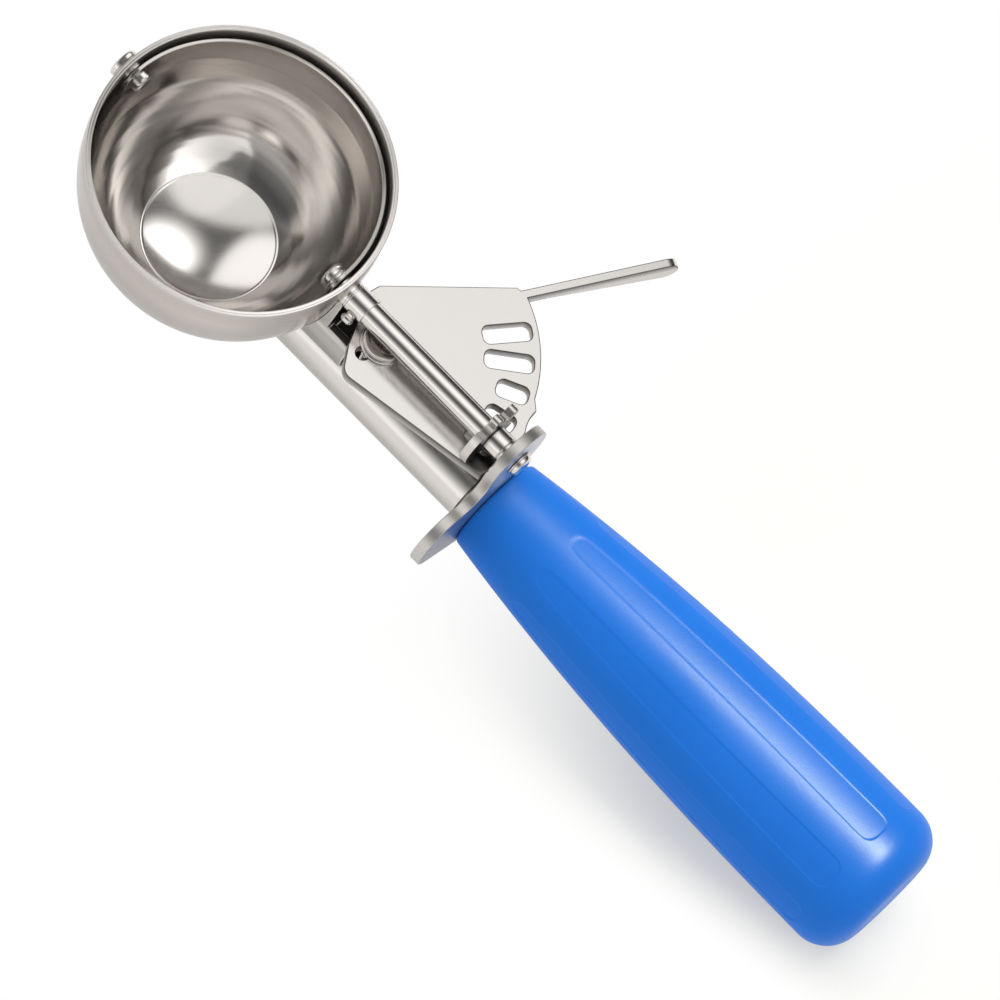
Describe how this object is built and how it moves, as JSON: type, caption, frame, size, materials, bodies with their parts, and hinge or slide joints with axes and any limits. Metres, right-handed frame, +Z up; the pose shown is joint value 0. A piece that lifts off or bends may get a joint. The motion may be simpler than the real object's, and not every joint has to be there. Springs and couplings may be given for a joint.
{
  "type": "lever ice cream scoop",
  "caption": "Thumb-lever ice cream scoop: steel bowl with a geared scraper blade, slotted thumb lever, return spring and a fluted plastic handle.",
  "frame": {"origin": "middle of the flat foot under the bowl, on the bowl's axis", "axes": "+Z up out of the open bowl, +X along the neck from the bowl to the butt of the handle, +Y to the thumb lever's side"},
  "size_m": [0.2057, 0.0842, 0.0422],
  "materials": {
    "steel": "satin-brushed stainless steel",
    "handle": "smooth satin blue moulded plastic"
  },
  "bodies": {
    "frame": {"bowl": "steel", "shaft_bush": "steel", "bush_screw": "steel", "front_pivot_rivet": "steel", "front_pivot_spacer": "steel", "front_pivot_button": "steel", "lever_pivot_rivet": "steel", "lever_washer": "steel", "lever_boss": "steel", "return_spring": "steel", "front_saddle": "steel", "neck_tube": "steel", "tube_collar": "steel", "guard_plate": "steel", "handle_tang": "steel", "handle": "handle"},
    "lever": {"thumb_lever": "steel"},
    "scraper": {"scraper_blade": "steel", "scraper_shaft": "steel", "blade_hub": "steel", "pinion": "steel", "shaft_spacer": "steel", "shaft_end_washer": "steel", "shaft_end_rivet": "steel"}
  },
  "joints": [
    {"name": "lever_press", "type": "hinge", "parent": "frame", "child": "lever", "pos_m": [0.0395, 0, 0.0232], "axis": [0, 0, -1], "range_deg": [0, 38.8], "stiffness_Nm_per_rad": 0.06, "springref_deg": -20.05, "deforming": ["return_spring"]},
    {"name": "scraper_turn", "type": "hinge", "parent": "frame", "child": "scraper", "pos_m": [0, 0, 0.0291], "axis": [-1, 0, 0], "range_deg": [0, 170]}
  ],
  "couplings": [
    {"joint": "scraper_turn", "follows": "lever_press", "ratio": 4.3796}
  ]
}
